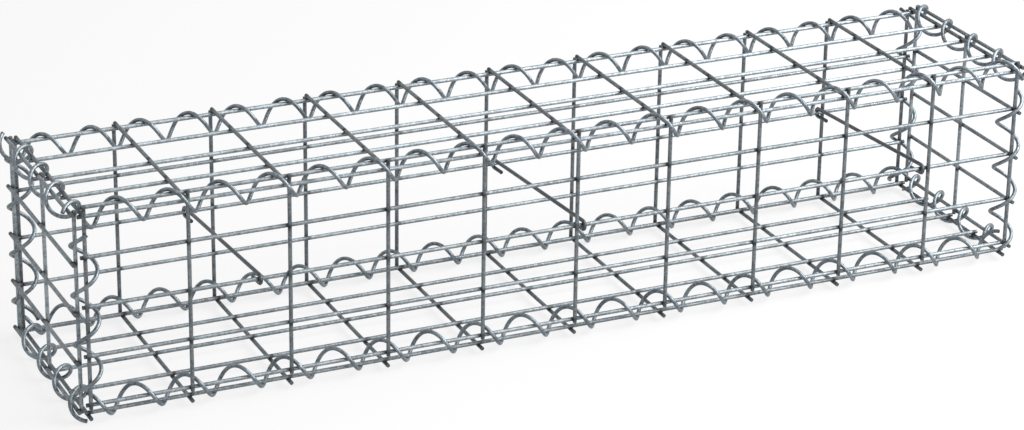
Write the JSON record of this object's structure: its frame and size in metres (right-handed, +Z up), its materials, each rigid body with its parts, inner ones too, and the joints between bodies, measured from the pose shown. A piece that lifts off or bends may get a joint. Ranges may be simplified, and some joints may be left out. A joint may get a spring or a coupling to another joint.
{
  "type": "gabion basket",
  "caption": "Empty long box of welded wire mesh, laced along every edge with wire spirals and braced inside by hooked ties, to be filled with stones in a gabion wall.",
  "frame": {"origin": "on the ground under the middle of the basket", "axes": "+X along the length to the right as seen from the front, +Y from the front to the back, +Z up to the lid"},
  "size_m": [1.0388, 0.2404, 0.2264],
  "materials": {
    "mesh_wire": "galvanised, satin",
    "spiral_wire": "galvanised, satin",
    "tie_wire": "galvanised, satin"
  },
  "bodies": {
    "root": {"front_panel": "mesh_wire", "back_panel": "mesh_wire", "lid_panel": "mesh_wire", "base_panel": "mesh_wire", "left_end_panel": "mesh_wire", "right_end_panel": "mesh_wire", "top_front_spiral": "spiral_wire", "top_back_spiral": "spiral_wire", "bottom_front_spiral": "spiral_wire", "bottom_back_spiral": "spiral_wire", "left_top_spiral": "spiral_wire", "left_bottom_spiral": "spiral_wire", "left_front_spiral": "spiral_wire", "left_back_spiral": "spiral_wire", "right_top_spiral": "spiral_wire", "right_bottom_spiral": "spiral_wire", "right_front_spiral": "spiral_wire", "right_back_spiral": "spiral_wire", "left_tie": "tie_wire", "middle_tie": "tie_wire", "right_tie": "tie_wire"}
  },
  "joints": []
}
